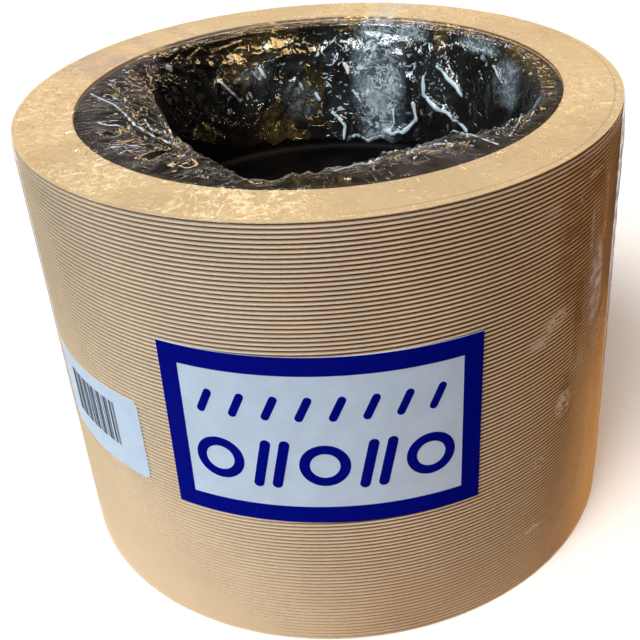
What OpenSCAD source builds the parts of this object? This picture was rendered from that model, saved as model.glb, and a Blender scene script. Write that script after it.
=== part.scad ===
// Rubber roll of a rice huller, in its clear shrink film.
// The roll stands on one end: the axis is Z, z = 0 is the film's underside,
// and the front label faces -Y. An azimuth of 0 is -Y and 90 is +X.

/* [Roll] */
// Diameter over the crests of the ribbed rubber
roll_d = 163.5; // [150:0.5:180]
// Length of the rubber from end face to end face
roll_l = 127; // [110:1:160]

/* [Rubber sleeve] */
// Thickness of the rubber, from the drum to the crests
rubber_t = 15.55; // [12:0.05:20]
// Spacing of the grooves, rounded so that a whole number fits the length
groove_pitch = 1.187; // [1:0.01:2]
// Depth of each groove below the crests
groove_depth = 0.5; // [0.2:0.05:1]
// Width of a groove at the crests
groove_w = 0.62; // [0.4:0.02:0.8]
// Width of a groove at its floor
groove_floor_w = 0.3; // [0.1:0.02:0.38]

/* [Drum] */
// How far each end of the drum stands in from the rubber's end face
drum_recess = 1.2; // [0.8:0.1:3]
// Wall of the drum at its ends
drum_wall_end = 4.5; // [3:0.1:5]
// Wall of the drum at the web, thicker because of the casting's draft
drum_wall_root = 5.5; // [5:0.1:7]
// Thickness of the web across the drum
web_t = 8; // [5:0.5:14]
// Depth of the web's upper face below the rubber's upper end face
web_depth = 43.5; // [42:0.5:60]
// Fillet between the web and the wall
web_fillet = 2.5; // [1:0.5:4]
// Chamfer on the drum's ends and on the bore
drum_chamfer = 0.8; // [0.2:0.1:1.5]
// Width of the web, from the wall in to its bore
web_w = 22.7; // [20:0.1:30]
// Number of bolt holes in the web
bolt_count = 4; // [3:1:6]
// Diameter of each bolt hole
bolt_d = 9; // [6:0.5:10]
// Distance of the bolt holes' centres from the wall
bolt_inset = 11.2; // [10.5:0.1:13]

/* [Shrink film] */
// Thickness of the film
film_t = 0.3; // [0.2:0.05:0.5]
// Gap between the print on the labels and the film
film_gap = 0.1; // [0.05:0.05:0.4]
// How far the film lies flat past the rubber's inner edge
film_lip = 2.2; // [1.5:0.1:3]
// Number of gathers around each end
gather_count = 34; // [16:1:40]
// Height of the gathers at the film's free edge
gather_h = 1.1; // [0.4:0.1:1.4]
// How far the upper film bulges into the bore at the front, at most
front_reach = 24.5; // [8:0.5:26]
// How far the upper film stands in from its lip at the back
back_reach = 5.4; // [5.2:0.1:7]
// Depth of the upper film's free edge at the front
front_drop = 13; // [8:1:24]
// Depth of the upper film's free edge at the back
back_drop = 39; // [25:1:39]
// How far the lower film stands in from its lip
lower_reach = 5.4; // [5.2:0.1:7]
// Length of the lower film inside the bore
lower_drop = 18; // [8:1:26]

/* [Front label] */
// Width of the label, measured around the roll
label_w = 80; // [60:1:100]
// Height of the label
label_h = 50; // [36:1:60]
// Thickness of both labels
label_t = 0.15; // [0.1:0.05:0.3]
// Thickness of the print on both labels
print_t = 0.05; // [0.05:0.01:0.1]
// Azimuth of the label's centre
label_azimuth = -1.8; // [-20:0.1:20]
// Depth of the label's centre below the upper end face
label_depth = 59.2; // [40:0.1:75]
// Tilt of the label, with its right side lower
label_tilt = 1.3; // [0:0.1:3]
// Width of the printed border
border_w = 5.2; // [2:0.1:8]
// Height of the marks in the upper row
small_mark_h = 7.6; // [4:0.1:9]
// Outer diameter of the rings in the lower row
ring_d = 15; // [10:0.5:16]
// Width of the strokes in the lower row
stroke_w = 2.6; // [1:0.1:3.5]

/* [Barcode label] */
// Width of the label, measured around the roll
code_w = 43; // [34:0.5:50]
// Height of the label
code_h = 25.2; // [20:0.1:40]
// Radius of the label's corners
code_corner = 2; // [0.5:0.1:5]
// Gap between the two labels, measured around the roll
code_gap = 10.3; // [2:0.1:20]
// Depth of the label's centre below the upper end face
code_depth = 68.4; // [40:0.1:80]
// Width of the narrowest bar
bar_w = 0.27; // [0.2:0.01:0.32]
// Number of bars
bar_count = 26; // [12:1:28]
// Height of the bars
bar_h = 14; // [8:0.5:16]

/* [Hidden] */
$fn = 144;
roll_r = roll_d / 2;
drum_r = roll_r - rubber_t;
end_r = drum_r - drum_wall_end;
root_r = drum_r - drum_wall_root;
bore_r = root_r - web_w;
bolt_r = root_r - bolt_inset;
base_z = film_t;
top_z = base_z + roll_l;
over = 1;

groove_count = round(roll_l / groove_pitch);
groove_step = roll_l / groove_count;

drum_z0 = base_z + drum_recess;
drum_z1 = top_z - drum_recess;
web_z1 = top_z - web_depth;
web_z0 = web_z1 - web_t;
fillet_steps = 6;
bolt_turn = 45;

film_r0 = roll_r + label_t + print_t + film_gap;
film_r1 = film_r0 + film_t;
lip_r = drum_r - film_lip;
film_corner = film_r1 - roll_r;
corner_steps = 5;
skirt_steps = 136;
skirt_rings = 9;
lower_rings = 5;
seam_overlap = 0.4;
seam_inset = film_t / 6;
slope_step = 0.01;

// Bulge of the upper film around the bore, as [azimuth, share]: 0 stands in by back_reach, 1 by front_reach
bulges = [
    [0, 0.55], [10, 0.75], [20, 0.8], [30, 0.9], [40, 0.95], [48, 0.65], [54, 0.5], [62, 0.35], [70, 0.15],
    [84, 0.05], [120, 0], [235, 0.05], [246, 0.25], [256, 0.65], [266, 0.85], [278, 1], [300, 1], [312, 0.95],
    [322, 0.85], [331, 0.7], [338, 0.5], [345, 0.2], [352, 0.45], [360, 0.55]
];
// Depth of the upper film's free edge, as [azimuth, share]: 0 is front_drop and 1 is back_drop
drops = [
    [0, 0.05], [45, 0.1], [60, 0.4], [80, 0.9], [110, 0.95], [160, 1], [200, 0.95], [213, 0.9], [226, 0.65],
    [236, 0.5], [250, 0.45], [266, 0.4], [280, 0.3], [300, 0.1], [330, 0], [360, 0.05]
];

label_z = top_z - label_depth;
field_w = label_w - 2 * border_w;
field_h = label_h - 2 * border_w;
small_count = 8;
large_count = 5;
small_pitch = field_w / (small_count + 0.6);
large_pitch = field_w / (large_count + 0.3);
row_gap = (field_h - small_mark_h - ring_d) / 3;
small_row = field_h / 2 - row_gap - small_mark_h / 2;
large_row = row_gap + ring_d / 2 - field_h / 2;
grain_tilt = 25;
code_azimuth = label_azimuth - arc_angle(label_w / 2 + code_gap + code_w / 2, roll_r);
code_z = top_z - code_depth;
bar_rise = (code_h - bar_h) / 8;

// Angle that an arc of length s spans at radius r
function arc_angle(s, r) = s / r * 180 / PI;

// Half the straight width between the ends of an arc of length s at radius r
function half_chord(s, r) = r * sin(arc_angle(s / 2, r));

// The groove's outline, from its lower crest edge to its upper one
function groove_outline(z) = [
    [roll_r, z - groove_w / 2],
    [roll_r - groove_depth, z - groove_floor_w / 2],
    [roll_r - groove_depth, z + groove_floor_w / 2],
    [roll_r, z + groove_w / 2]
];

// Rubber with a groove in every step of its length
module rubber_sleeve() {
    grooves = [for (i = [0:groove_count - 1]) each groove_outline(base_z + (i + 0.5) * groove_step)];
    color("burlywood")
        rotate_extrude()
            polygon(concat([[drum_r, base_z], [roll_r, base_z]], grooves, [[roll_r, top_z], [drum_r, top_z]]));
}

// Points of the fillet between the wall and the web; dir is 1 above the web and -1 below it
function fillet_points(r, z, dir) = [
    for (i = [0:fillet_steps])
        let (a = 90 * i / fillet_steps)
            [r - web_fillet + web_fillet * cos(a), z + dir * web_fillet * (1 - sin(a))]
];

// Points in reverse order
function reversed(points) = [for (i = [len(points) - 1:-1:0]) points[i]];

// Half of the drum's section, from the bolted web out to the wall
module drum_section() {
    c = drum_chamfer;
    polygon(concat(
        [[bore_r, web_z0 + c], [bore_r + c, web_z0]],
        reversed(fillet_points(root_r, web_z0, -1)),
        [[end_r, drum_z0 + c], [end_r + c, drum_z0], [drum_r, drum_z0], [drum_r, drum_z1]],
        [[end_r + c, drum_z1], [end_r, drum_z1 - c]],
        fillet_points(root_r, web_z1, 1),
        [[bore_r + c, web_z1], [bore_r, web_z1 - c]]
    ));
}

// Cast drum: a wall with draft, a web with the bore, and the bolt holes
module drum() {
    color("#1c1c1e")
        difference() {
            rotate_extrude() drum_section();
            for (i = [0:bolt_count - 1])
                rotate([0, 0, bolt_turn + i * 360 / bolt_count])
                    translate([bolt_r, 0, web_z0 - over])
                        cylinder(d = bolt_d, h = web_t + 2 * over);
        }
}

// Quarter arc of the film over the roll's edge, seen in section
function corner_arc(z, dir, from, to) = [
    for (i = [0:corner_steps])
        let (a = from + (to - from) * i / corner_steps)
            [roll_r + film_corner * cos(a), z + dir * film_t * sin(a)]
];

// The film's side and the flat parts over both end faces
module film_shell() {
    rotate_extrude()
        polygon(concat(
            [[lip_r, base_z], [lip_r, base_z - film_t]],
            corner_arc(base_z, -1, 90, 0),
            corner_arc(top_z, 1, 0, 90),
            [[lip_r, top_z + film_t], [lip_r, top_z], [film_r0, top_z], [film_r0, base_z]]
        ));
}

// How far the upper film stands in from its lip
function upper_reach(a) = back_reach + (front_reach - back_reach) * lookup(a, bulges);

// Depth of the upper film's free edge, ragged as it was cut
function upper_drop(a) = front_drop + (back_drop - front_drop) * lookup(a, drops) - 0.4 * (1 + sin(11 * a));

// Depth of the lower film's free edge
function lower_edge(a) = lower_drop - 1.5 * (1 + sin(3 * a + 70)) - 0.6 * (1 + sin(8 * a));

// Middle of the gathered film in section, as [radius, depth below the flat part's middle]; it runs inwards
// over the drum's end first, and then turns down. A course is [reach, drop, bulge], and where it bulges, it
// turns down later and sags more.
function film_path(t, course) = [
    lip_r + seam_overlap - (course[0] + seam_overlap) * sin(90 * min(1, (2.2 - 0.6 * course[2]) * t)),
    course[1] * pow(t, 2 - 0.5 * course[2])
];

// Unit normal of that section line, towards the wall and down
function path_normal(t, course) =
    let (run = film_path(min(1, t + slope_step), course) - film_path(max(0, t - slope_step), course))
        [run[1], -run[0]] / norm(run);

// Height of the gathers at azimuth a and place t, from 0 at the flat part
function gather(a, t) =
    gather_h * t * (0.72 * sin(gather_count * a + 50 * t) + 0.28 * sin(2 * gather_count * a - 90 * t));

// One end's gathered film as a closed sheet: two faces, the free edge, and a first ring
// that lies inside the flat part; courses holds its course at each azimuth
module gathered_film(courses, rings) {
    n = len(courses);
    points = [
        for (side = [1, -1]) for (j = [0:rings]) for (i = [0:n - 1])
            let (
                a = i * 360 / n,
                t = j / rings,
                half_t = film_t / 2 - (j == 0 ? seam_inset : 0),
                off = gather(a, t) + side * half_t,
                p = film_path(t, courses[i]) + off * path_normal(t, courses[i])
            ) [p[0] * sin(a), -p[0] * cos(a), -p[1]]
    ];
    outer = 0;
    inner = (rings + 1) * n;
    wall = [
        for (j = [0:rings - 1]) for (i = [0:n - 1])
            let (k = (i + 1) % n, lo = j * n, hi = lo + n)
                each [
                    [outer + lo + i, outer + lo + k, outer + hi + i],
                    [outer + lo + k, outer + hi + k, outer + hi + i],
                    [inner + lo + i, inner + hi + i, inner + lo + k],
                    [inner + lo + k, inner + hi + i, inner + hi + k]
                ]
    ];
    last = rings * n;
    ends = [
        for (i = [0:n - 1])
            let (k = (i + 1) % n)
                each [
                    [outer + i, inner + i, outer + k],
                    [outer + k, inner + i, inner + k],
                    [outer + last + i, outer + last + k, inner + last + i],
                    [outer + last + k, inner + last + k, inner + last + i]
                ]
    ];
    polyhedron(points, concat(wall, ends), convexity = 6);
}

// Azimuths at which the gathered film is drawn
function film_azimuths() = [for (i = [0:skirt_steps - 1]) i * 360 / skirt_steps];

// Clear film, shrunk tight over the side and gathered into the bore at both ends
module shrink_film() {
    azimuths = film_azimuths();
    color([0.85, 0.88, 0.9, 0.35])
        union() {
            film_shell();
            translate([0, 0, top_z + film_t / 2])
                gathered_film([for (a = azimuths) [upper_reach(a), upper_drop(a), lookup(a, bulges)]], skirt_rings);
            translate([0, 0, base_z - film_t / 2])
                mirror([0, 0, 1])
                    gathered_film([for (a = azimuths) [lower_reach, lower_edge(a), 0]], lower_rings);
        }
}

// The part of a thin shell around the roll that the children's outline covers.
// The outline lies in X and Z, and from and thick are the shell's inner radius and thickness.
module wrapped(from, thick, azimuth, z) {
    intersection() {
        translate([0, 0, base_z])
            difference() {
                cylinder(r = from + thick, h = roll_l);
                translate([0, 0, -over]) cylinder(r = from, h = roll_l + 2 * over);
            }
        rotate([0, 0, azimuth])
            translate([0, 0, z])
                rotate([90, 0, 0])
                    linear_extrude(from + thick + over) children();
    }
}

// Rectangle whose width is measured around the roll
module arc_rect(w, h, r) {
    square([2 * half_chord(w, r), h], center = true);
}

// A bar with round ends, standing upright
module round_bar(l, w) {
    square([w, l - w], center = true);
    for (end = [-1, 1]) translate([0, end * (l - w) / 2]) circle(d = w);
}

// Front label: a plain white sheet
module front_label() {
    color("aliceblue")
        wrapped(roll_r, label_t, label_azimuth, label_z)
            rotate(-label_tilt) arc_rect(label_w, label_h, roll_r);
}

// A printed mark at place s around the roll and height y on the front label
module label_mark(s, y, r) {
    wrapped(r, print_t, label_azimuth + arc_angle(s, r), label_z + y - s * tan(label_tilt))
        children();
}

// Print on the front label: a border, a row of grains, and a row of rings and grains
module front_label_print() {
    r = roll_r + label_t;
    color("navy")
        union() {
            wrapped(r, print_t, label_azimuth, label_z)
                rotate(-label_tilt)
                    difference() {
                        arc_rect(label_w, label_h, roll_r);
                        arc_rect(field_w, field_h, roll_r);
                    }
            for (i = [0:small_count - 1])
                label_mark((i - (small_count - 1) / 2) * small_pitch, small_row, r)
                    rotate(-grain_tilt) round_bar(small_mark_h, stroke_w * 0.8);
            for (i = [0:large_count - 1])
                label_mark((i - (large_count - 1) / 2) * large_pitch, large_row, r)
                    if (i % 2 == 0) {
                        difference() {
                            circle(d = ring_d * 0.84);
                            circle(d = ring_d * 0.84 - 2 * stroke_w);
                        }
                    } else {
                        for (side = [-1, 1])
                            translate([side * stroke_w * 0.9, 0]) rotate(-grain_tilt / 2) round_bar(ring_d, stroke_w);
                    }
        }
}

// Barcode label: a white sheet with round corners
module barcode_label() {
    w = 2 * half_chord(code_w, roll_r);
    color("aliceblue")
        wrapped(roll_r, label_t, code_azimuth, code_z)
            union() {
                square([w - 2 * code_corner, code_h], center = true);
                square([w, code_h - 2 * code_corner], center = true);
                for (x = [-1, 1], y = [-1, 1])
                    translate([x * (w / 2 - code_corner), y * (code_h / 2 - code_corner)]) circle(r = code_corner);
            }
}

// Widths of bar i and of the space after it, in narrowest bars
function bar_units(i) = 1 + (i * i + 2 * i) % 3;
function space_units(i) = 1 + (i * 5 + i * i * 2) % 4 % 3;

// Place of bar i's left edge, in narrowest bars
function bar_start(i) = i == 0 ? 0 : bar_start(i - 1) + bar_units(i - 1) + space_units(i - 1);

// Print on the barcode label: plain upright bars
module barcode_label_print() {
    r = roll_r + label_t;
    total = bar_start(bar_count - 1) + bar_units(bar_count - 1);
    color("#2a2a33")
        union() {
            for (i = [0:bar_count - 1])
                let (w = bar_units(i) * bar_w, s = (bar_start(i) - total / 2) * bar_w + w / 2)
                    wrapped(r, print_t, code_azimuth + arc_angle(s, r), code_z + bar_rise)
                        square([w, bar_h], center = true);
        }
}

rubber_sleeve();
drum();
shrink_film();
front_label();
front_label_print();
barcode_label();
barcode_label_print();
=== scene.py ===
"""Looks of a rice huller's rubber roll, sealed in clear shrink film and standing on its end.

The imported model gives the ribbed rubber, the drum, the labels and their print. This script gives them their
finish, and makes the film that replaces the plain one: tight over the side, creased over the ends, and
crumpled where it runs down into the bore. Sizes are in metres where no comment or name says mm, and
azimuths are in degrees: 0 faces the camera (-Y) and 90 is to the right (+X).
"""

import math

import bpy
from mathutils import Matrix, Vector, noise


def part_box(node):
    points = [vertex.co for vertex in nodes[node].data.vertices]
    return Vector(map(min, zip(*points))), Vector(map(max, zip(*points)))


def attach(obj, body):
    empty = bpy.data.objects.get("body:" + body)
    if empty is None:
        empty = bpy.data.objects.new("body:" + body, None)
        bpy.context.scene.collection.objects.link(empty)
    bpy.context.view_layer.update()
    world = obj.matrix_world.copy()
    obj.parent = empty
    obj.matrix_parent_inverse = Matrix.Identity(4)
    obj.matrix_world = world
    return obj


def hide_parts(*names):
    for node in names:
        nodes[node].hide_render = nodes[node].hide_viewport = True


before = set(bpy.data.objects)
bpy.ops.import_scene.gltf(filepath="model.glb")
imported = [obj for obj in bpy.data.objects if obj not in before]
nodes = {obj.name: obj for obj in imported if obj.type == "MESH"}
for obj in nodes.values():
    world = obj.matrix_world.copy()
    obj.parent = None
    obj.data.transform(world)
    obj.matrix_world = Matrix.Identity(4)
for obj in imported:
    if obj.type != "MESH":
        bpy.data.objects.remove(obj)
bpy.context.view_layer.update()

MM = 0.001


def radii(node):
    """Smallest and largest distance of a node's vertices from the roll's axis."""
    found = [math.hypot(v.co.x, v.co.y) for v in nodes[node].data.vertices]
    return min(found), max(found)


def span(node):
    """Middle and half width of a node in azimuth, and its middle and half height."""
    turns = [math.degrees(math.atan2(v.co.x, -v.co.y)) for v in nodes[node].data.vertices]
    heights = [v.co.z for v in nodes[node].data.vertices]
    return ((max(turns) + min(turns)) / 2, (max(turns) - min(turns)) / 2,
            (max(heights) + min(heights)) / 2, (max(heights) - min(heights)) / 2)


DRUM_R, ROLL_R = radii("rubber_sleeve")
RUBBER_LO, RUBBER_HI = (corner.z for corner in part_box("rubber_sleeve"))
FILM_LO, FILM_HI = (corner.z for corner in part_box("shrink_film"))
FILM_T = FILM_HI - RUBBER_HI
FILM_R = radii("shrink_film")[1] - FILM_T / 2
TOP_Z = FILM_HI - FILM_T / 2
BASE_Z = FILM_LO + FILM_T / 2
ROLL_L = RUBBER_HI - RUBBER_LO
GROOVES = 107
GROOVE_PITCH = ROLL_L / GROOVES
WALL_R = 60.6  # the drum's inside wall, less a little, in mm
SKIRT_MM = 42.0  # length of the upper film inside the bore, from the rim to its free edge

CAMERA_AT = (0.0093, -0.2768, RUBBER_HI + 0.0978)
CAMERA_TILT = 32.19
CAMERA_ROLL = -3.32
PHOTO_PIXELS = 640
FOCAL_PIXELS = 1044.4
CENTRE_PIXEL = 366
SENSOR_MM = 36.0


def add_camera():
    """The camera that the photograph was taken from, tilted down towards the roll."""
    camera = bpy.data.cameras.new("camera")
    camera.sensor_width = SENSOR_MM
    camera.lens = FOCAL_PIXELS / PHOTO_PIXELS * SENSOR_MM
    camera.shift_x = 0.5 - CENTRE_PIXEL / PHOTO_PIXELS
    camera.clip_start = 0.01
    tilt, roll = math.radians(CAMERA_TILT), math.radians(CAMERA_ROLL)
    level = Vector((1, 0, 0))
    ahead = Vector((0, math.cos(tilt), -math.sin(tilt)))
    above = Vector((0, math.sin(tilt), math.cos(tilt)))
    right = level * math.cos(roll) + above * math.sin(roll)
    up = above * math.cos(roll) - level * math.sin(roll)
    turn = Matrix((right, up, -ahead)).transposed().to_4x4()
    obj = bpy.data.objects.new("camera", camera)
    obj.matrix_world = Matrix.Translation(CAMERA_AT) @ turn
    bpy.context.scene.collection.objects.link(obj)
    bpy.context.scene.camera = obj


class Graph:
    """A material's or world's node tree, with one short call for each node."""

    def __init__(self, owner):
        owner.use_nodes = True
        self.tree = owner.node_tree
        self.tree.nodes.clear()

    def add(self, kind, inputs=None, out=0, **settings):
        """Adds a node, sets or links its inputs, and returns one of its outputs."""
        node = self.tree.nodes.new("ShaderNode" + kind)
        for name, value in settings.items():
            setattr(node, name, value)
        for name, value in (inputs or {}).items():
            if isinstance(value, bpy.types.NodeSocket):
                self.tree.links.new(value, node.inputs[name])
            else:
                node.inputs[name].default_value = value
        return node.outputs[out]

    def math(self, operation, a, b=0.0, clamp=False):
        return self.add("Math", {0: a, 1: b}, operation=operation, use_clamp=clamp)

    def ramp(self, value, low, high, to_low=0.0, to_high=1.0):
        """Maps low..high to to_low..to_high and stops there, with soft ends."""
        return self.add("MapRange", {0: value, 1: low, 2: high, 3: to_low, 4: to_high},
                        interpolation_type="SMOOTHSTEP")

    def mix(self, factor, a, b, blend="MIX"):
        """Mixes two colours."""
        return self.add("Mix", {0: factor, 6: a, 7: b}, out=2, data_type="RGBA", blend_type=blend)

    def noise(self, where, scale, detail=3.0, roughness=0.5, distortion=0.0):
        return self.add("TexNoise", {"Vector": where, "Scale": scale, "Detail": detail,
                                     "Roughness": roughness, "Distortion": distortion})

    def bump(self, height, strength, distance, normal=None):
        inputs = {"Height": height, "Strength": strength, "Distance": distance}
        if normal:
            inputs["Normal"] = normal
        return self.add("Bump", inputs)

    def place(self, stretch=(1, 1, 1)):
        """Object coordinates, stretched along each axis."""
        where = self.add("TexCoord", out=3)
        return self.add("Mapping", {"Vector": where, "Scale": stretch})

    def finish(self, shader):
        self.add_output(shader, "OutputMaterial")

    def add_output(self, shader, kind):
        node = self.tree.nodes.new("ShaderNode" + kind)
        self.tree.links.new(shader, node.inputs["Surface"])


def new_material(name):
    material = bpy.data.materials.new(name)
    return material, Graph(material)


def radius_and_height(g):
    """Outputs for a point's distance from the axis and its height."""
    where = g.add("TexCoord", out=3)
    flat = g.add("VectorMath", {0: where, 1: (1, 1, 0)}, operation="MULTIPLY")
    radius = g.add("VectorMath", {0: flat}, out=1, operation="LENGTH")
    height = g.add("SeparateXYZ", {0: where}, out=2)
    return radius, height


def azimuth_and_depth(g):
    """Outputs for a point's azimuth in degrees, -180 to 180, and its depth under the upper end in mm."""
    flat = g.add("SeparateXYZ", {0: g.place()})
    x, y, z = flat, flat.node.outputs[1], flat.node.outputs[2]
    azimuth = g.math("DEGREES", g.math("ARCTAN2", x, g.math("MULTIPLY", y, -1.0)))
    return azimuth, g.math("MULTIPLY", g.math("SUBTRACT", TOP_Z, z), 1 / MM)


# Milky film; the warm one's warmth is partly a painted reflection of warm surroundings
CLOUDY, CLOUDY_WARM_LIT = (0.85, 0.82, 0.86, 1), (0.84, 0.76, 0.66, 1)
# Painted glints and reflections: pale blue of a window, gold of warm lamps, and warm yellow on the end face
WINDOW_GLINT_BLUE, GLINT_GOLD, PAINTED_GLINT_YELLOW = (0.66, 0.86, 1.0, 1), (1.0, 0.74, 0.26, 1), (1.0, 0.96, 0.66, 1)
RIM_COLOUR = (0.85, 0.66, 0.39, 1)
# Painted light: the crests are paler and cooler on the left, and warmer on the right, in shade
CREST_LIT_LEFT, CREST_SHADED_RIGHT = (0.81, 0.82, 0.69, 1), (0.84, 0.70, 0.44, 1)
# Painted shade: the grooves are dark brown for the shade in them, darker and warmer on the right
GROOVE_SHADE_LEFT, GROOVE_SHADE_RIGHT = (0.36, 0.22, 0.14, 1), (0.30, 0.10, 0.014, 1)
# Painted light that the ribs fade into, bounced up from the floor and from the film's sheen
FADED_LIGHT_LEFT, FADED_LIGHT_RIGHT = (0.72, 0.60, 0.43, 1), (0.70, 0.56, 0.38, 1)
# A painted pool of warm light
WARM_LIGHT_POOL_COLOUR = (0.98, 0.76, 0.46, 1)
# Painted shade, a dark warm brown
RIGHT_SHADE_COLOUR = (0.33, 0.145, 0.035, 1)
# Painted shade: darker crests low down
FOOT_COLOUR = (0.48, 0.42, 0.31, 1)
# Painted shade on the side film at its edges, where it turns away
SILHOUETTE_SHADE_COLOUR = (0.22, 0.17, 0.16, 1)
# Painted shadow: the thin brown line of the film's doubled edge on the end face
RING_SHADOW_COLOUR = (0.30, 0.15, 0.06, 1)
# The label stock's white is painted bluish for the cool light on it
COOL_LIT_LABEL_COLOUR, BLUE_INK, BLACK_INK = (0.56, 0.74, 1.0, 1), (0.001, 0.004, 0.26, 1), (0.07, 0.07, 0.09, 1)
BLACK_PAINT, WORN_PAINT = (0.0015, 0.0015, 0.002, 1), (0.004, 0.0035, 0.0035, 1)
CLEAR_COLOUR = (0.985, 0.985, 0.98, 1)
WHITE = (1, 1, 1, 1)

RIGHTWARD = (0.99, 0.139, 0)  # across the roll as the camera sees it
FADE_MM = 130.0  # depth under the upper end that counts as one, as a half width does to the sides
# The thin brown line on the upper end, painted as the shadow of the film's doubled edge: how far in it
# runs, how far it wanders, and how fast per degree
RING_IN, RING_WANDER, RING_TURN = 2.1 * MM, 0.3 * MM, 0.11
LINE_WIDTH = 0.00028  # half width of the fine milky lines, per unit of their noise's scale


def side_fade(g, azimuth, depth):
    """How far the ribs blend together towards both sides and the lower end, and three colours of painted
    light and shade that change across the side as the camera sees it: the one that they blend to, the
    grooves' and the crests'."""
    outwards = g.add("VectorMath", {0: g.place(), 1: (1, 1, 0)}, operation="MULTIPLY")
    outwards = g.add("VectorMath", {0: outwards}, operation="NORMALIZE")
    across = g.add("VectorMath", {0: outwards, 1: RIGHTWARD}, out=1, operation="DOT_PRODUCT")
    down = g.math("DIVIDE", depth, FADE_MM)
    down = g.math("MULTIPLY", down, g.ramp(across, -0.5, 0.1, 1.0, 0.82))
    sideways = g.math("MULTIPLY", across, g.ramp(across, -0.2, 0.2, 0.88, 1.0))
    away = g.add("VectorMath", {0: g.add("CombineXYZ", {0: sideways, 1: down})}, out=1, operation="LENGTH")
    behind = g.ramp(g.math("ABSOLUTE", azimuth), 77.0, 100.0, 1.0, 0.55)
    away = g.math("MULTIPLY", away, behind)
    # Painted shade: dark warm brown high on the right
    right_shade = g.math("MULTIPLY", g.ramp(across, 0.35, 0.75), g.ramp(down, 0.45, 0.85, 1.0, 0.0))
    # A painted pool of warm light low on the right
    warm_light_pool = g.math("MULTIPLY", g.ramp(across, 0.57, 0.82), g.ramp(down, 0.25, 0.5))
    # Painted shade in the grooves, darker and warmer on the right
    groove_shade = g.mix(g.ramp(across, -0.5, 0.3), GROOVE_SHADE_LEFT, GROOVE_SHADE_RIGHT)
    # Painted light: crests paler on the left, warmer on the right
    crest = g.mix(g.ramp(across, 0.2, 0.9), CREST_LIT_LEFT, CREST_SHADED_RIGHT)
    # Painted light that the ribs fade into
    lit_colour = g.mix(g.ramp(across, -0.45, 0.1), FADED_LIGHT_LEFT, FADED_LIGHT_RIGHT)
    # Painted shade: the crests are darker low down in the middle
    foot = g.math("MULTIPLY", g.ramp(down, 0.5, 0.8, 0.0, 0.65), g.ramp(across, -0.5, 0.05))
    foot = g.math("MULTIPLY", foot, g.ramp(across, 0.3, 0.6, 1.0, 0.0))
    crest = g.mix(foot, crest, FOOT_COLOUR)
    return away, g.mix(warm_light_pool, g.mix(right_shade, lit_colour, RIGHT_SHADE_COLOUR), WARM_LIGHT_POOL_COLOUR), groove_shade, crest


def rubber_material():
    """Pale ground rubber: pale crests, grooves painted dark brown as their shade, light and shade painted
    across the side, and smooth warm end faces with a thin brown line painted as a shadow.
    """
    material, g = new_material("ribbed rubber")
    radius, height = radius_and_height(g)
    turns = g.math("MULTIPLY", g.math("SUBTRACT", height, RUBBER_LO), 2 * math.pi / GROOVE_PITCH)
    # The crest mask: what is not crest takes the grooves' painted shade
    crest = g.ramp(g.math("COSINE", turns), -0.4, 0.95)
    middle = (RUBBER_LO + RUBBER_HI) / 2
    from_middle = g.math("ABSOLUTE", g.math("SUBTRACT", height, middle))
    rim = g.ramp(from_middle, ROLL_L / 2 - 0.12 * MM, ROLL_L / 2 - 0.02 * MM)
    where = g.place()
    cloud = g.noise(where, 38.0, 4.0, 0.6)
    speck = g.noise(where, 900.0, 2.0, 0.7)
    azimuth, depth = azimuth_and_depth(g)
    away, blended, groove_shade, lit_colour = side_fade(g, azimuth, depth)
    # Painted shade: the upper part of the left side is up to a quarter darker
    left = g.math("MULTIPLY", g.ramp(azimuth, -55.0, -32.0, 0.24, 0.0), g.ramp(azimuth, -140.0, -90.0))
    left_shade = g.math("MULTIPLY", left, g.ramp(height, TOP_Z - 70 * MM, TOP_Z - 30 * MM))
    left_shade = g.math("SUBTRACT", 1.0, g.math("MULTIPLY", left_shade, g.math("SUBTRACT", 1.0, rim)))
    # The side's ribs fade into painted light towards both sides and the lower end
    side = g.mix(g.ramp(away, 0.4, 1.3), g.mix(crest, groove_shade, lit_colour), blended)
    colour = g.mix(rim, side, RIM_COLOUR)
    shade = g.ramp(cloud, 0.3, 0.7, 0.93, 1.05)
    grain = g.ramp(speck, 0.25, 0.75, 0.94, 1.04)
    # Painted shade: the end face is up to 12 percent darker at the front, towards the camera
    front = g.math("MULTIPLY", rim, g.ramp(g.math("ABSOLUTE", azimuth), 30.0, 90.0, 0.12, 0.0))
    tone = g.math("MULTIPLY", g.math("MULTIPLY", shade, grain), g.math("SUBTRACT", left_shade, front))
    toned = g.mix(1.0, colour, g.add("CombineColor", {0: tone, 1: tone, 2: tone}), "MULTIPLY")
    # A thin brown line painted on the end face as the shadow of the film's doubled edge
    wander = g.math("MULTIPLY", g.math("SINE", g.math("MULTIPLY", azimuth, RING_TURN)), RING_WANDER)
    inwards = g.math("ABSOLUTE", g.math("SUBTRACT", g.math("ADD", radius, wander), ROLL_R - RING_IN))
    ring_shadow = g.math("MULTIPLY", g.ramp(inwards, 0.05 * MM, 0.3 * MM, 0.45, 0.0), g.ramp(azimuth, -5.0, 15.0))
    ring_shadow = g.math("MULTIPLY", g.math("MULTIPLY", ring_shadow, rim), g.ramp(azimuth, 90.0, 130.0, 1.0, 0.0))
    toned = g.mix(ring_shadow, toned, RING_SHADOW_COLOUR)
    normal = g.bump(speck, 0.25, 0.1 * MM)
    g.finish(g.add("BsdfPrincipled", {
        "Base Color": toned, "Roughness": 0.62, "Specular IOR Level": 0.02, "Normal": normal}))
    return material


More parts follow.
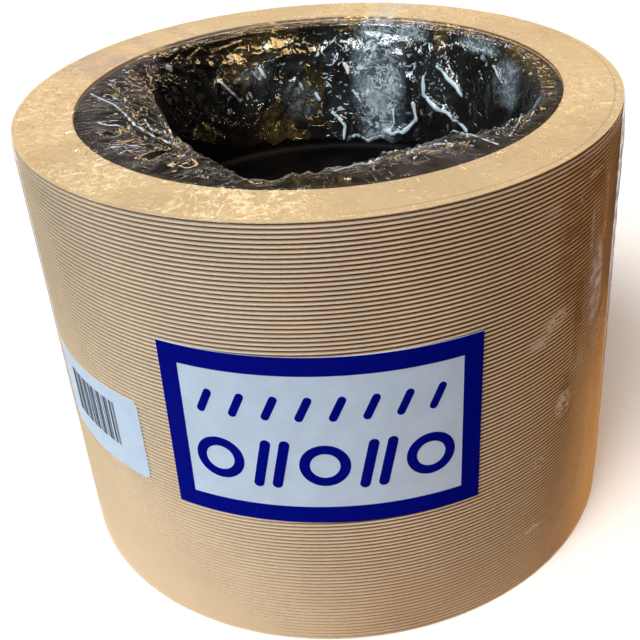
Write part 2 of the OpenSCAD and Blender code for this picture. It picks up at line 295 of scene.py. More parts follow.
def iron_material():
    """Black paint over a sand casting."""
    material, g = new_material("black painted casting")
    where = g.place()
    sand = g.noise(where, 700.0, 3.0, 0.6)
    patches = g.noise(where, 60.0, 3.0, 0.5)
    colour = g.mix(g.ramp(patches, 0.35, 0.7), BLACK_PAINT, WORN_PAINT)
    normal = g.bump(sand, 0.5, 0.2 * MM)
    g.finish(g.add("BsdfPrincipled", {
        "Base Color": colour, "Roughness": g.ramp(patches, 0.3, 0.7, 0.4, 0.5),
        "Specular IOR Level": 0.025, "Normal": normal}))
    return material


def label_material(name, colour, roughness, specular):
    """Coated label stock, or print on it, with the grooves showing faintly through."""
    material, g = new_material(name)
    height = radius_and_height(g)[1]
    mottle = g.noise(g.place(), 160.0, 3.0, 0.55)
    wave = g.math("SINE", g.math("MULTIPLY", height, 2 * math.pi / GROOVE_PITCH))
    dark = tuple(0.93 * c for c in colour[:3]) + (1,)
    normal = g.bump(wave, 0.06, 0.05 * MM)
    g.finish(g.add("BsdfPrincipled", {
        "Base Color": g.mix(g.ramp(mottle, 0.3, 0.7), dark, colour), "Roughness": roughness,
        "Specular IOR Level": specular, "Normal": normal}))
    return material


# Patches where the film isn't clear: azimuth, depth in mm, half width in degrees, half height in mm, and
# strength. On the side film: milky where it is loose, with painted glints; painted shade where it stands off;
# a brown painted shade where it is doubled; and a painted cool and a painted warm sheen
LOOSE = [(60, 60, 5, 12, 0.5), (43, 42, 5, 4, 0.9), (39, 46, 4, 3, 0.7), (54, 8, 5, 1.5, 0.8),
         (49, 12, 1, 3, 0.6), (47, 71, 4, 7, 0.9), (40, 85, 3, 3, 0.7), (39, 108, 4, 2, 0.8),
         (57, 101, 3, 9, 0.5), (41, 11, 3, 3, 0.3), (52, 60, 2, 4, 0.5), (150, 60, 3, 50, 0.3),
         (-130, 90, 8, 14, 0.3)]
SHADED = [(70, 20, 6.5, 32, 1.0)]
DOUBLED_SEAM_SHADE = [(48.5, 22, 8, 28, 0.75), (50.5, 42, 2.5, 22, 0.9), (55, 10, 4, 8, 0.8), (48, 70, 4, 12, 0.6)]
PAINTED_COOL_SHEEN = [(57.2, 41, 4.6, 18, 1.0), (53.5, 24, 1.3, 14, 0.35)]
PAINTED_WARM_SHEEN = [(59.5, 20, 1.4, 20, 0.9), (63, 64, 4, 30, 0.8)]
# On the upper film: a painted window reflection where it is crushed, doubled film, and painted glints of warm
# lamps; dimmed, painted warm glints and the painted shade of wrinkles over the end face; and painted glints
# of the small facets all over the far wall
PAINTED_WINDOW_REFLECTION = [(162, 18, 11, 32, 1.0), (152, 3, 9, 4, 0.8), (110, 10, 10, 10, 0.45), (126, 3, 12, 3, 0.8),
           (-172, 24, 8, 10, 0.3), (78, 6, 8, 6, 0.5), (-158, 14, 8, 5, 0.4), (-82, 10, 14, 8, 0.3)]
DOUBLED = [(-108, 6, 13, 14, 0.22), (-122, 2, 6, 5, 0.3), (32, 8, 9, 12, 0.35), (62, 7, 10, 9, 0.2),
           (-62, 9, 22, 8, 0.22)]
PAINTED_GOLD_GLINTS = [(-164, 4, 10, 6, 1.0), (-154, 11, 10, 12, 1.0), (-163, 31, 10, 10, 0.8), (-168, 37, 8, 3, 1.0),
          (-176, 24, 8, 14, 0.7), (141, 4, 4, 5, 1.0), (168, 2, 12, 3, 0.8), (-4, 6, 26, 8, 0.5),
          (-82, 12, 16, 7, 0.6), (100, 2, 25, 3, 0.7), (-136, 30, 8, 6, 0.5)]
DIMMED = [(-114, 0, 14, 1.5, 1.0), (-131, 0, 4, 1.5, 0.8), (-142, 0, 3, 1.5, 0.6), (75, 0, 8, 1.5, 0.25)]
PAINTED_RIM_GLINTS = [(-14, 0, 20, 0.7, 1.0), (-45, 0, 16, 0.7, 0.8), (-85, 0, 30, 0.7, 0.6), (165, 0, 25, 0.7, 0.6),
          (75, 0, 20, 0.7, 0.4)]
PAINTED_WRINKLE_SHADE = [(-80, 0, 60, 0.7, 1.0), (-15, 0, 25, 0.7, 0.6), (60, 0, 40, 0.7, 0.8), (150, 0, 60, 0.7, 0.8)]
PAINTED_FACET_GLINTS = [(180, 18, 44, 26, 1.0), (-170, 16, 34, 22, 1.0), (140, 12, 26, 24, 0.7)]


def milky_patches(g, azimuth, depth, where, uneven, group):
    """Share of milk in a group of patches of film: an even part, crisp flecks, and fine lines."""
    patches, base, low, fleck, line, scale = group
    total = 0.0
    for middle, down, half_wide, half_high, strength in patches:
        across = g.math("DIVIDE", g.math("SUBTRACT", azimuth, middle), half_wide)
        along = g.math("DIVIDE", g.math("SUBTRACT", depth, down), half_high)
        away = g.add("CombineXYZ", {0: across, 1: along})
        away = g.add("VectorMath", {0: away}, out=1, operation="LENGTH")
        total = g.math("MAXIMUM", g.ramp(away, 0.3, 1.0, strength, 0.0), total)
    marks = g.ramp(uneven, 0.35, 0.65, 0.4 * base, 1.4 * base)
    if fleck:
        flecks = g.ramp(g.noise(where, scale, 2.0, 0.6, 0.7), low, low + 0.06, 0.0, fleck)
        marks = g.math("MAXIMUM", marks, flecks)
    if line:
        lines = g.math("ABSOLUTE", g.math("SUBTRACT", g.noise(where, 1.2 * scale, 1.0, 0.5, 1.5), 0.5))
        thin = g.math("ABSOLUTE", g.math("SUBTRACT", g.noise(where, 0.8 * scale, 1.0, 0.5, 2.5), 0.42))
        lines = g.math("MINIMUM", lines, g.math("MULTIPLY", thin, 1.5))
        marks = g.math("MAXIMUM", marks, g.ramp(lines, 0.0, LINE_WIDTH * scale, line, 0.0))
    return g.math("MULTIPLY", total, marks)


def side_veil(g, azimuth, depth, height):
    """Share and colour of the haze that hides the ribs at both sides and low down, but not the labels, in the
    painted light that the ribs fade into.
    """
    away, blended = side_fade(g, azimuth, depth)[:2]
    share = g.ramp(away, 0.72, 1.25, 0.0, 0.72)
    for label in ("front_label", "barcode_label"):
        middle, half_wide, level, half_high = span(label)
        beside = g.math("ABSOLUTE", g.math("SUBTRACT", azimuth, middle))
        beside = g.ramp(beside, half_wide, half_wide + 0.5)
        past = g.math("ABSOLUTE", g.math("SUBTRACT", height, level))
        past = g.ramp(past, half_high, half_high + 0.5 * MM)
        share = g.math("MULTIPLY", share, g.math("MAXIMUM", beside, past))
    return share, blended


def lay_over(g, milk, colour, share, tint, soft=0.03):
    """Share and colour of the milk once another layer covers it wherever that one is the stronger."""
    stronger = g.ramp(g.math("SUBTRACT", share, milk), -soft, soft)
    return g.math("MAXIMUM", milk, share), g.mix(stronger, colour, tint)


def film_material(name, gloss, haze, haze_colour, roughness, crease, groups=(), stretch=1.0, veil=False):
    """Clear film: mostly see-through, glossy at a slant, with fine creases, streaks and a haze in patches.

    gloss and haze each hold the least and the largest share. The tints of the patches paint glints,
    reflections and shade. A veil also hides the ribs of the side under painted light, with painted shade at
    the edges. Film with no veil shows its sharp folds whitened, by the crease stored on its mesh, partly as a
    painted highlight.
    """
    material, g = new_material(name)
    where = g.place()
    radius, height = radius_and_height(g)
    azimuth, depth = azimuth_and_depth(g)
    turn = g.math("ABSOLUTE", azimuth)
    inside = g.ramp(turn, 105.0, 145.0, 0.4, 1.0)
    inside = g.ramp(radius, DRUM_R - 1.0 * MM, DRUM_R + 3.0 * MM, inside, 0.45)
    outside = g.ramp(radius, ROLL_R - 0.6 * MM, ROLL_R, 1.0, 0.25)
    lines = g.noise(where, 210.0, 1.0, 0.4, 1.2)
    line = g.ramp(g.math("ABSOLUTE", g.math("SUBTRACT", lines, 0.5)), 0.0, 0.04, 1.0, 0.0)
    patch = g.ramp(g.noise(where, 95.0, 2.0, 0.5), 0.44, 0.58)
    outwards = g.add("VectorMath", {0: where, 1: (1, 1, 0)}, operation="MULTIPLY")
    outwards = g.add("VectorMath", {0: outwards}, operation="NORMALIZE")
    slow = g.add("CombineXYZ", {2: g.math("MULTIPLY", g.math("SUBTRACT", radius, height), 1.6)})
    spread = g.add("VectorMath", {0: outwards, 1: slow}, operation="ADD")
    streaks = g.noise(spread, 21.0, 2.0, 0.5, 0.3)
    streak = g.ramp(g.math("ABSOLUTE", g.math("SUBTRACT", streaks, 0.5)), 0.0, 0.025, 1.0, 0.0)
    fine = g.noise(where, 480.0, 2.0, 0.6, 0.8)
    normal = g.bump(g.math("MULTIPLY", g.math("MULTIPLY", line, patch), inside), crease, 0.25 * MM)
    normal = g.bump(g.math("MULTIPLY", streak, inside), crease, 0.07 * MM, normal)
    far = g.ramp(turn, 132.0, 148.0, 0.08, 1.0)
    far = g.math("MULTIPLY", far, g.ramp(radius, DRUM_R - 4.0 * MM, DRUM_R - 1.0 * MM, 1.0, 0.12))
    normal = g.bump(g.math("MULTIPLY", fine, far), crease, 0.5 * MM, normal)
    facing = g.add("LayerWeight", {"Blend": 0.5, "Normal": normal}, out=1)
    gloss_share = g.ramp(g.math("POWER", facing, 4.0), 0.0, 1.0, *gloss)
    gloss_share.node.interpolation_type = "LINEAR"
    level = g.ramp(turn, 120.0, 145.0, 0.72, 1.0)
    level = g.ramp(radius, DRUM_R - 0.5 * MM, DRUM_R + 1.0 * MM, level, 0.45)
    gloss_share = g.math("MULTIPLY", g.math("MULTIPLY", gloss_share, level), outside)
    clouds = g.noise(where, 70.0, 5.0, 0.65, 1.5)
    doubled = g.add("VectorMath", {0: where, 1: (-1, -0.15, 0)}, out=1, operation="DOT_PRODUCT")
    layers = g.ramp(radius, DRUM_R - 3 * MM, DRUM_R - MM, 1.0, 0.3)
    layers = g.math("MULTIPLY", g.ramp(doubled, 0.040, 0.052), layers)
    layers = g.math("MULTIPLY", layers, g.ramp(clouds, 0.35, 0.65, 0.3 * haze[1], 1.8 * haze[1]))
    milk = g.math("ADD", g.ramp(clouds, 0.40, 0.70, *haze), layers)
    slanted = g.math("ADD", g.math("MULTIPLY", g.math("POWER", facing, 3.0), 4.0), 1.0)
    milk = g.math("MULTIPLY", milk, slanted, clamp=True)
    stretched = g.place((1, 1, stretch))
    uneven = g.noise(stretched, 120.0, 2.0, 0.6)
    for *group, inner, tint in groups:
        share = milky_patches(g, azimuth, depth, stretched, uneven, group)
        share = g.math("MULTIPLY", share, g.ramp(radius, inner, inner + 0.4 * MM))
        if not veil:
            on_end = g.ramp(radius, ROLL_R - 1.2 * MM, ROLL_R - 0.6 * MM, 1.0, 0.0)
            share = g.math("MULTIPLY", share, on_end)
        milk, haze_colour = lay_over(g, milk, haze_colour, share, tint)
    if veil:
        # Painted shade where the side film turns edge-on
        edge = g.ramp(facing, 0.86, 0.99, 0.0, 0.55)
        milk, haze_colour = lay_over(g, milk, haze_colour, edge, SILHOUETTE_SHADE_COLOUR, 0.05)
        share, blended = side_veil(g, azimuth, depth, height)
        milk, haze_colour = lay_over(g, milk, haze_colour, share, blended, 0.05)
    else:
        # The folds are whitened in pale blue: partly the film's own stress whitening, partly a painted
        # highlight
        creased = g.add("Attribute", out=2, attribute_name="crease")
        creased = g.math("ADD", creased, g.math("SUBTRACT", g.noise(where, 300.0, 2.0, 0.6), 0.5))
        milk, haze_colour = lay_over(g, milk, haze_colour, g.ramp(creased, 0.46, 0.70), WINDOW_GLINT_BLUE)
    clear = g.add("BsdfTransparent", {"Color": CLEAR_COLOUR})
    milky = g.add("BsdfDiffuse", {"Color": haze_colour})
    shine = g.add("BsdfGlossy", {"Color": WHITE, "Roughness": roughness, "Normal": normal})
    body = g.add("MixShader", {0: milk, 1: clear, 2: milky})
    g.finish(g.add("MixShader", {0: gloss_share, 1: body, 2: shine}))
    return material


def around(degrees, radius, height):
    """A point at an azimuth, a distance from the axis and a height."""
    a = math.radians(degrees)
    return Vector((radius * math.sin(a), -radius * math.cos(a), height))


def smooth(value, low, high):
    """0 below low, 1 above high, and smooth between."""
    t = min(1.0, max(0.0, (value - low) / (high - low)))
    return t * t * (3 - 2 * t)


def turned(points, degrees):
    """Smooth value at an azimuth from (azimuth, value) pairs in rising order around the roll."""
    n = len(points)
    k = max((i for i in range(n) if points[i][0] <= degrees), default=n - 1)
    values = [points[(k + j) % n] for j in (-1, 0, 1, 2)]
    gap = (values[2][0] - values[1][0]) % 360 or 360
    t = ((degrees - values[1][0]) % 360) / gap
    before, start, end, after = (v[1] for v in values)
    low, high = min(start, end), max(start, end)
    a, b = (end - before) / 2, (after - start) / 2
    t2, t3 = t * t, t * t * t
    value = (2 * t3 - 3 * t2 + 1) * start + (t3 - 2 * t2 + t) * a + (3 * t2 - 2 * t3) * end + (t3 - t2) * b
    return min(high, max(low, value))


AZIMUTHS = 720
# Rows of the sheets: down the side, round an outer edge, over an end face, and all of them
SIDE_ROWS, TURN_ROWS, FLAT_ROWS, UPPER_ROWS = 3, 4, 26, 98
LOWER_FLAT_ROWS, LOWER_ROWS = 12, 44
SIDE_FILM_ROWS = 60
ROW_STEP = 0.8 * MM
SKIRT_ROW = SIDE_ROWS + TURN_ROWS + FLAT_ROWS
# Seeds of the noise that crumples the film, and of the one that bends its creases. Without the second,
# noise_vector takes its seed from the clock, and no two runs are the same
UPPER_SEED, END_SEED, LOWER_SEED = 7.0, 4.0, 23.0
BEND_SEED = 1

# Distance from the axis of the film's inward bulge just under the upper end, and the depth of its free
# edge, both in mm at azimuths around the bore
BULGE_R = [(0, 48), (10, 44.5), (20, 43), (30, 41), (40, 40.5), (48, 46), (54, 49), (62, 51.5), (68, 55),
           (76, 56.5), (84, 58), (120, 58.4), (160, 58.6), (200, 58.4), (235, 57.5), (246, 54), (256, 46),
           (266, 42), (278, 39.5), (300, 39.5), (312, 40), (322, 42), (331, 45), (338, 49.5), (345, 55),
           (352, 50)]
EDGE_DEPTH = [(0, 14), (45, 16), (60, 24), (80, 36), (110, 38), (160, 39.5), (180, 39), (200, 38),
              (213, 36), (226, 30), (236, 26), (250, 25), (266, 23), (280, 20), (300, 16), (330, 13)]


def bezier(points, t):
    """A point of a cubic Bezier curve in section."""
    s = 1 - t
    weights = (s * s * s, 3 * s * s * t, 3 * s * t * t, t * t * t)
    return tuple(sum(w * p[i] for w, p in zip(weights, points)) for i in (0, 1))


def skirt_section(degrees, t):
    """Radius and depth, in mm, of the upper film inside the bore, before it is crumpled."""
    start = DRUM_R / MM
    bulge = turned(BULGE_R, degrees)
    drop = turned(EDGE_DEPTH, degrees)
    deep = smooth(drop, 14, 36)
    shallow = [(start, 0.0), (start - 0.7 * (start - bulge), 0.4), (bulge - 1.5, 3.0), (bulge + 2.5, drop)]
    steep = [(start, 0.0), (bulge - 0.5, 0.0), (bulge, 0.35 * drop), (bulge - 0.3, drop)]
    a, b = bezier(shallow, t), bezier(steep, t)
    return tuple(x + deep * (y - x) for x, y in zip(a, b))


def ridge(where):
    """Sharp ridges about one unit apart, between -1 and 1."""
    return max(-1.0, 1 - 3.4 * abs(noise.noise(where)))


def crumple(degrees, along, seed):
    """Height of the crumpled film, about -1 to 1: ridges and facets, and pleats that run inwards."""
    where = around(degrees, 60 * MM, along * MM) / MM + Vector((seed, 2 * seed, 0))
    bent = where + noise.noise_vector(where / 12.0) * 3.5
    pleats = ridge(Vector((bent.x / 4.2, bent.y / 4.2, bent.z / 22.0)))
    facets = ridge(bent / 8.5)
    small = ridge(bent / 3.6 + Vector((9, 0, 0)))
    swell = noise.noise(where / 17.0)
    far_wall = 0.5 - 0.5 * math.cos(math.radians(degrees - 10))
    pleats *= 0.42 - 0.22 * far_wall
    facets *= 0.2 + 0.3 * far_wall
    small *= 0.14 + 0.1 * far_wall
    return pleats + facets + small + 0.7 * swell


def puckers(degrees, radius, seed):
    """Height of the small creases in the film over an end face, in mm."""
    where = around(degrees, radius, 0) / MM
    inwards = 1 - smooth(radius / MM, DRUM_R / MM, ROLL_R / MM - 1.0)
    front = 0.35 + 0.65 * (0.5 + 0.5 * math.cos(math.radians(degrees + 35)))
    bent = where + noise.noise_vector(where / 5.0) * 1.5
    radial = noise.noise(Vector((degrees / 1.1 + seed, radius / MM / 9.0, 0.0)))
    blob = noise.noise(bent / 2.6 + Vector((seed, 0, 0)))
    patch = smooth(noise.noise(where / 11.0 + Vector((0, seed, 0))), -0.05, 0.45)
    fold = max(0.0, 1 - abs(blob) * 6)
    streak = max(0.0, radial - 0.1)
    return front * (0.35 * streak * (0.4 + inwards) + 0.3 * fold * patch * (0.35 + inwards))


def edge_line(degrees, radius):
    """Height of the doubled film's edge, a thin line a little in from the outer edge, in mm."""
    wander = 1.8 + 0.7 * noise.noise(Vector((degrees / 17.0, 3.0, 0)))
    gap = (ROLL_R - radius) / MM - wander
    return 0.10 * math.exp(-(gap / 0.28) ** 2)


def upper_film_point(degrees, row):
    """A point of the upper film: up the side, round the outer edge, over the end face and into the bore."""
    corner = FILM_R - ROLL_R
    if row < SIDE_ROWS:
        return around(degrees, FILM_R, TOP_Z - corner - (SIDE_ROWS - row) * ROW_STEP)
    row -= SIDE_ROWS
    if row <= TURN_ROWS:
        a = math.pi / 2 * row / TURN_ROWS
        return around(degrees, ROLL_R + corner * math.cos(a), TOP_Z - corner + corner * math.sin(a))
    row -= TURN_ROWS
    if row <= FLAT_ROWS:
        radius = ROLL_R + (DRUM_R - ROLL_R) * row / FLAT_ROWS
        height = puckers(degrees, radius, END_SEED) + edge_line(degrees, radius)
        return around(degrees, radius, TOP_Z + height * MM)
    t = (row - FLAT_ROWS) / (UPPER_ROWS - 1 - SKIRT_ROW)
    return skirt_point(degrees, t, TOP_Z, -1, skirt_section, UPPER_SEED)


# Sharp folds: height, width and width of whitening in mm, then points (azimuth, depth) on the far wall, or
# (azimuth, distance from the rim along the film) at the front. The whitening is partly a painted highlight
WALL_FOLDS = [
    (1.5, 1.5, 1.5, [(146, 16), (146, 22), (141, 25), (128, 30)]),
    (1.3, 1.3, 1.6, [(141, 12), (131, 19)]),
    (1.0, 1.3, 0.0, [(141, 3), (140, 12)]),
    (1.4, 1.4, 1.3, [(150, 25), (149, 31), (154, 36), (160, 36)]),
    (0.9, 1.0, 0.8, [(167, 30), (165, 34), (160, 36), (157, 33), (157, 28)]),
    (1.0, 1.2, 1.2, [(176, 38.5), (168, 38.8), (161, 38.5)]),
    (1.0, 1.2, 1.1, [(178, 30), (174, 34), (174.5, 38)]),
    (0.8, 1.0, 1.2, [(173, 13.5), (172, 16.5)]),
    (0.8, 1.0, 1.0, [(171, 22), (168, 26)]),
    (0.8, 1.0, 0.9, [(203, 13), (201, 16)]),
    (0.8, 1.0, 0.9, [(200.5, 12.5), (199, 15.5)]),
    (0.7, 0.9, 0.8, [(215, 13), (211, 18), (208, 22)]),
    (0.8, 1.0, 1.0, [(188, 19), (187, 21)]),
    (0.8, 1.0, 0.9, [(183, 23), (182, 25)]),
    (0.9, 1.2, 1.4, [(232.6, 4), (231, 5.5)]),
    (1.0, 1.2, 0.9, [(118, 7), (111, 10)]),
    (1.6, 2.0, 0.0, [(240, 6), (230, 20), (216, 33)]),
    (1.6, 2.0, 0.0, [(232, 8), (221, 24), (212, 30)]),
    (1.2, 1.6, 0.0, [(236, 18), (226, 30)]),
    (1.0, 1.4, 0.0, [(206, 10), (200, 22), (203, 30)]),
    (0.9, 1.2, 0.0, [(190, 6), (186, 14), (192, 22)])]
FRONT_FOLDS = [
    (1.8, 1.6, 0.6, [(266, 2), (275, 8), (284, 11), (296, 13), (308, 14), (318, 15)]),
    (1.0, 1.0, 0.0, [(257, 6), (262, 22)]),
    (1.0, 1.0, 0.0, [(250, 4), (252, 24)]),
    (1.2, 1.2, 0.5, [(288, 16), (302, 20), (318, 20)]),
    (0.8, 0.9, 0.0, [(292, 3), (298, 12)]),
    (0.8, 0.9, 0.0, [(303, 2), (311, 12)]),
    (1.4, 1.3, 0.6, [(42, 2), (43, 18)]),
    (1.2, 1.2, 0.5, [(18, 18), (30, 13), (41, 6)]),
    (1.0, 1.0, 0.5, [(47, 3), (60, 9), (66, 14)]),
    (0.8, 0.9, 0.5, [(52, 14), (64, 6)]),
    (0.9, 1.0, 0.6, [(4, 10), (16, 14)])]


def fold_height(degrees, along, folds):
    """Height in mm of the sharp folds at a point of the film."""
    height = 0.0
    for tall, wide, _, points in folds:
        for (a, b), (c, d) in zip(points, points[1:]):
            if not min(a, c) - 4 < degrees < max(a, c) + 4:
                continue
            run, drop = c - a, d - b
            share = ((degrees - a) * run + (along - b) * drop) / (run * run + drop * drop)
            share = min(1.0, max(0.0, share))
            away = math.hypot(degrees - a - share * run, along - b - share * drop)
            height = max(height, tall * max(0.0, 1 - away / wide))
    return height


def skirt_crease(degrees, t):
    """Share of whitening, partly a painted highlight, along the sharp folds at a point of the upper film in
    the bore.
    """
    depth = skirt_section(degrees, t)[1]
    wall = fold_height(degrees, depth, [(1.0, fold[2], 0.0, fold[3]) for fold in WALL_FOLDS if fold[2]])
    front = fold_height(
        degrees, t * SKIRT_MM, [(1.0, fold[2], 0.0, fold[3]) for fold in FRONT_FOLDS if fold[2]])
    return max(wall, front)


def skirt_point(degrees, t, level, down, section, seed):
    """A crumpled point of the film inside the bore; down is -1 for the upper end and 1 for the lower."""
    step = 0.01
    before, after = section(degrees, max(0.0, t - step)), section(degrees, min(1.0, t + step))
    radius, depth = section(degrees, t)
    run = Vector((after[0] - before[0], after[1] - before[1])).normalized()
    grow = smooth(t, 0.0, 0.2)
    height = 1.3 * grow * crumple(degrees, t * SKIRT_MM, seed)
    if down < 0:
        height += fold_height(degrees, depth, WALL_FOLDS) + fold_height(degrees, t * SKIRT_MM, FRONT_FOLDS)
    ragged = smooth(t, 0.8, 1.0) * 1.6 * noise.noise(Vector((degrees / 4.0, seed, 0)))
    pucker = (1 - grow) * puckers(degrees, DRUM_R, END_SEED)
    radius += -height * run.y
    depth = max(0.0, depth + height * run.x + ragged - pucker)
    if depth > 1.0:
        radius = min(radius, WALL_R - 0.35 * smooth(radius, WALL_R - 2, WALL_R + 2))
    return around(degrees, radius * MM, level + down * depth * MM)


def sheet_mesh(name, rows, point, crease=None):
    """A closed band of quads around the roll, row by row from point(degrees, row).

    crease(degrees, row) gives the whitening of folds, which the mesh keeps for its material.
    """
    vertices, faces = [], []
    for row in range(rows):
        vertices += [point(360.0 * i / AZIMUTHS, row) for i in range(AZIMUTHS)]
    for row in range(rows - 1):
        for i in range(AZIMUTHS):
            k = (i + 1) % AZIMUTHS
            low, high = row * AZIMUTHS, (row + 1) * AZIMUTHS
            faces.append((low + i, low + k, high + k, high + i))
    mesh = bpy.data.meshes.new(name)
    mesh.from_pydata(vertices, [], faces)
    mesh.shade_smooth()
    if crease:
        shares = [crease(360.0 * i / AZIMUTHS, row) for row in range(rows) for i in range(AZIMUTHS)]
        mesh.attributes.new("crease", "FLOAT", "POINT").data.foreach_set("value", shares)
    obj = bpy.data.objects.new(name, mesh)
    bpy.context.scene.collection.objects.link(obj)
    return obj


def dress_film(obj, material):
    """Finishes a piece of the film, which rides with the roll and replaces the plain film."""
    obj.data.materials.append(material)
    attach(obj, "root")
    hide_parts("shrink_film")
    obj.visible_shadow = False


def upper_film(material):
    """The film over the upper end, with its folds and creases."""

    def crease(degrees, row):
        t = (row - SKIRT_ROW) / (UPPER_ROWS - 1 - SKIRT_ROW)
        return skirt_crease(degrees, t) if t > 0 else 0.0

    dress_film(sheet_mesh("film_upper", UPPER_ROWS, upper_film_point, crease), material)


def side_film(material):
    """The film over the side, tight and nearly smooth."""
    corner = FILM_R - ROLL_R
    low, high = BASE_Z + corner, TOP_Z - corner - SIDE_ROWS * ROW_STEP

    def point(degrees, row):
        height = high + (low - high) * row / (SIDE_FILM_ROWS - 1)
        ends = smooth(row, 0, 4) * smooth(SIDE_FILM_ROWS - 1 - row, 0, 4)
        where = around(degrees, FILM_R, height) / MM
        lift = 0.06 * noise.noise(Vector((where.x / 12, where.y / 12, where.z / 30)))
        loose = smooth(degrees, 44, 56) * (1 - smooth(degrees, 80, 96))
        lift += loose * 0.22 * (1 + noise.noise(Vector((degrees / 2.2, where.z / 18, 5))))
        lift += loose * 0.15 * ridge(Vector((degrees / 5.0 + where.z / 40, where.z / 9, 0)))
        return around(degrees, FILM_R + ends * lift * MM, height)

    dress_film(sheet_mesh("film_side", SIDE_FILM_ROWS, point), material)


def lower_section(degrees, t):
    """Radius and depth, in mm, of the lower film inside the bore."""
    start = DRUM_R / MM
    drop = 15.5 + 1.5 * math.sin(math.radians(3 * degrees + 70))
    return bezier([(start, 0.0), (58.5, 0.0), (58.6, 0.4 * drop), (58.3, drop)], t)


def lower_film(material):
    """The film under the lower end: flat where the roll stands on it, and gathered into the bore."""
    corner = FILM_R - ROLL_R

    def point(degrees, row):
        if row <= TURN_ROWS:
            a = math.pi / 2 * row / TURN_ROWS
            return around(degrees, ROLL_R + corner * math.cos(a), BASE_Z + corner - corner * math.sin(a))
        row -= TURN_ROWS
        if row <= LOWER_FLAT_ROWS:
            return around(degrees, ROLL_R + (DRUM_R - ROLL_R) * row / LOWER_FLAT_ROWS, BASE_Z)
        t = (row - LOWER_FLAT_ROWS) / (LOWER_ROWS - 1 - TURN_ROWS - LOWER_FLAT_ROWS)
        return skirt_point(degrees, t, BASE_Z, 1, lower_section, LOWER_SEED)

    dress_film(sheet_mesh("film_lower", LOWER_ROWS, point), material)


def set_material(node, material):
    slots = nodes[node].data.materials
    slots.clear()
    slots.append(material)


def add_light(name, kind, at, to, energy, colour, glints_only=False, **settings):
    """A lamp at a place, aimed at a point; one for glints alone shows only in gloss."""
    light = bpy.data.lights.new(name, kind)
    light.energy = energy
    light.color = colour
    for key, value in settings.items():
        setattr(light, key, value)
    obj = bpy.data.objects.new(name, light)
    obj.location = at
    obj.rotation_mode = "QUATERNION"
    obj.rotation_quaternion = (Vector(to) - Vector(at)).to_track_quat("-Z", "Y")
    obj.visible_camera = False
    obj.visible_diffuse = not glints_only
    bpy.context.scene.collection.objects.link(obj)


# Lamps that show only in gloss: name, azimuth, elevation, width and height in degrees, brightness, colour
COOL, WARM = (0.72, 0.86, 1.0), (1.0, 0.68, 0.30)
GLINTS = [
    ("window", -35, 34, 15, 54, 17.0, COOL),
    ("left window", -66, 46, 8, 36, 12.0, COOL),
    ("left lamp", -100, 38, 14, 14, 9.0, COOL),
    ("right ceiling", 44, 42, 40, 34, 13.0, WARM),
    ("front lamp", 8, 50, 12, 14, 14.0, WARM),
    ("back ceiling", 200, 60, 40, 10, 7.0, WARM),
    ("back lamp", 168, 42, 22, 6, 14.0, WARM),
    ("back window", 196, 40, 14, 6, 12.0, (0.86, 0.84, 1.0)),
    ("left ceiling", 255, 40, 20, 10, 9.0, WARM)]


def add_lights():
    """Soft light from the upper left, a warm edge from behind, and windows and lamps that only glint."""
    aim = Vector((0, 0, TOP_Z))
    add_light("warm edge", "SUN", around(130, 1.0, TOP_Z + 0.14), aim, 1.1, (1.0, 0.72, 0.42),
              angle=math.radians(20))
    add_light("key", "SUN", around(-40, 0.75, TOP_Z + 1.02), aim, 2.8, (1.0, 0.98, 0.95),
              angle=math.radians(28))
    for name, azimuth, elevation, wide, high, brightness, colour in GLINTS:
        up = math.radians(elevation)
        size = [2 * math.tan(math.radians(angle / 2)) for angle in (wide, high)]
        add_light(name, "AREA", around(azimuth, math.cos(up), TOP_Z + math.sin(up)), aim,
                  brightness * math.pi * size[0] * size[1], colour, True, shape="RECTANGLE",
                  size=size[0], size_y=size[1])


def add_world():
    """A room that is white to the camera and at the horizon, and lights the roll more from the left."""
    world = bpy.data.worlds.new("room")
    bpy.context.scene.world = world
    g = Graph(world)
    direction = g.add("TexCoord", out=0)
    side = g.add("SeparateXYZ", {0: direction}, out=0)
    height = g.add("SeparateXYZ", {0: direction}, out=2)
    light = g.mix(g.ramp(side, -0.8, 0.6), (0.38, 0.375, 0.37, 1), (0.16, 0.075, 0.025, 1))
    blobs = g.ramp(g.noise(direction, 3.2, 2.0, 0.5), 0.45, 0.7)
    room = g.mix(blobs, (0.015, 0.014, 0.016, 1), (0.34, 0.25, 0.17, 1))
    back = g.add("SeparateXYZ", {0: direction}, out=1)
    back = g.math("MULTIPLY", g.ramp(back, 0.3, 0.8), g.ramp(height, 0.32, 0.42, 0.85, 0.0))
    room = g.mix(back, room, (0.32, 0.25, 0.17, 1))
    room = g.mix(g.ramp(height, 0.03, 0.12), WHITE, room)
    colour = g.mix(g.add("LightPath", out=3), light, room)
    seen = g.math("MAXIMUM", g.add("LightPath", out=0), g.add("LightPath", out=6))
    colour = g.mix(seen, colour, WHITE)
    g.add_output(g.add("Background", {"Color": colour, "Strength": 1.0}), "OutputWorld")


FLOOR_HALF = 6.0
FLOOR_GLOW = 0.18  # light that shows to the camera and in gloss, and lights nothing


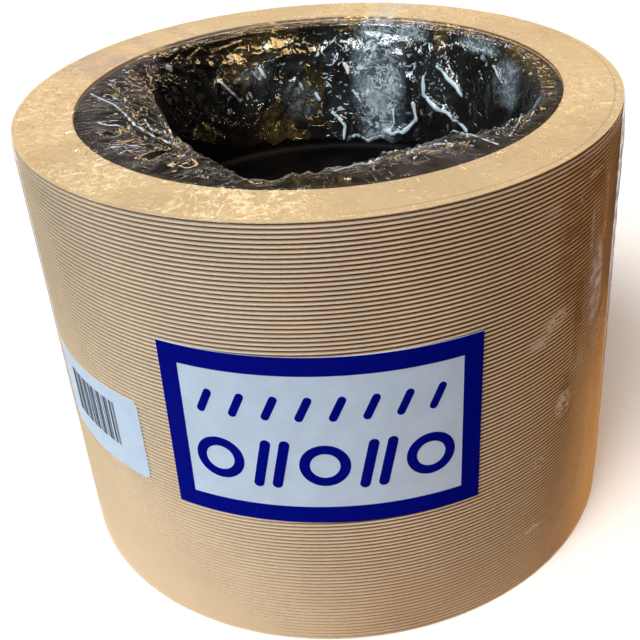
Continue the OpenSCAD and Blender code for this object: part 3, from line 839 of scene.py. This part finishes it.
def add_floor():
    """A floor that shows white and keeps the roll's shadow, and bounces some warm light up at the roll."""
    mesh = bpy.data.meshes.new("floor")
    corners = [(-1, -1), (1, -1), (1, 1), (-1, 1)]
    mesh.from_pydata([(x * FLOOR_HALF, y * FLOOR_HALF, FILM_LO) for x, y in corners], [], [(0, 1, 2, 3)])
    floor = bpy.data.objects.new("floor", mesh)
    bpy.context.scene.collection.objects.link(floor)
    material, g = new_material("pale floor")
    seen = g.math("MAXIMUM", g.add("LightPath", out=0), g.add("LightPath", out=3))
    seen = g.math("MAXIMUM", seen, g.add("LightPath", out=6))
    away = g.add("VectorMath", {0: g.place()}, out=1, operation="LENGTH")
    rightward = g.add("SeparateXYZ", {0: g.place()}, out=0)
    near = g.mix(g.ramp(rightward, -0.09, 0.0), (0.94, 0.90, 0.80, 1), (0.62, 0.43, 0.28, 1))
    bounce = g.mix(g.ramp(away, 0.11, 0.45), near, (0.22, 0.20, 0.18, 1))
    colour = g.mix(seen, bounce, WHITE)
    shown = g.add("Emission", {"Color": WHITE, "Strength": g.math("MULTIPLY", seen, FLOOR_GLOW)})
    g.finish(g.add("AddShader", {0: g.add("BsdfDiffuse", {"Color": colour}), 1: shown}))
    mesh.materials.append(material)


noise.seed_set(BEND_SEED)
add_camera()
set_material("rubber_sleeve", rubber_material())
set_material("drum", iron_material())
stock = label_material("label stock", COOL_LIT_LABEL_COLOUR, 0.35, 0.03)
set_material("front_label", stock)
set_material("barcode_label", stock)
set_material("front_label_print", label_material("blue ink", BLUE_INK, 0.3, 0.002))
set_material("barcode_label_print", label_material("black ink", BLACK_INK, 0.45, 0.02))
# Groups of patches: the patches, their even part, the noise above which flecks start, the shares of the
# flecks and of the fine lines, the scale of their noise, the radius from which they show, and their colour
# Tints of the upper film's patches, mostly painted light: pale blue glints and a window's reflection, a
# lavender for doubled film, gold glints of warm lamps, the shade of wrinkles, a darker grey, and warm glints
# on the end face
UPPER_GROUPS = [
    (PAINTED_FACET_GLINTS, 0.03, 0.63, 1.0, 0.0, 400.0, 0.0, WINDOW_GLINT_BLUE),
    (PAINTED_WINDOW_REFLECTION, 0.30, 0.58, 0.75, 0.9, 240.0, 0.0, WINDOW_GLINT_BLUE),
    (DOUBLED, 0.34, 0.60, 0.45, 0.5, 260.0, 0.0, (0.80, 0.76, 0.88, 1)),
    (PAINTED_GOLD_GLINTS, 0.05, 0.60, 1.0, 0.15, 340.0, 0.0, GLINT_GOLD),
    (PAINTED_WRINKLE_SHADE, 0.10, 0.0, 0.0, 0.75, 90.0, DRUM_R, (0.62, 0.47, 0.32, 1)),
    (DIMMED, 0.55, 0.58, 0.8, 0.3, 260.0, DRUM_R, (0.55, 0.46, 0.42, 1)),
    (PAINTED_RIM_GLINTS, 0.0, 0.68, 0.6, 1.0, 160.0, DRUM_R, PAINTED_GLINT_YELLOW)]
# Tints of the side film's patches: a brown painted shade over the doubled seam, a painted warm and a painted
# cool sheen, painted shade at the edge, and milk with painted glints where it is loose
SIDE_GROUPS = [
    (DOUBLED_SEAM_SHADE, 0.50, 0.60, 0.7, 0.0, 260.0, 0.0, (0.30, 0.155, 0.055, 1)),
    (PAINTED_WARM_SHEEN, 0.6, 0.0, 0.0, 0.0, 260.0, 0.0, (0.85, 0.52, 0.18, 1)),
    (PAINTED_COOL_SHEEN, 0.8, 0.0, 0.0, 0.0, 260.0, 0.0, (0.78, 0.72, 0.82, 1)),
    (SHADED, 0.5, 0.0, 0.0, 0.0, 260.0, 0.0, (0.17, 0.15, 0.17, 1)),
    (LOOSE, 0.28, 0.54, 0.7, 1.0, 220.0, 0.0, CLOUDY_WARM_LIT)]
upper_film(film_material(
    "creased film", gloss=(0.06, 0.8), haze=(0.004, 0.016), haze_colour=CLOUDY, roughness=0.025, crease=0.6,
    groups=UPPER_GROUPS))
side_film(film_material(
    "tight film", gloss=(0.002, 0.06), haze=(0.0, 0.002), haze_colour=CLOUDY_WARM_LIT, roughness=0.12,
    crease=0.04, groups=SIDE_GROUPS, stretch=2.2, veil=True))
lower_film(film_material(
    "creased lower film", gloss=(0.08, 0.8), haze=(0.010, 0.045), haze_colour=CLOUDY, roughness=0.06,
    crease=0.5))
add_lights()
add_world()
add_floor()
bpy.context.scene.view_settings.view_transform = "Standard"
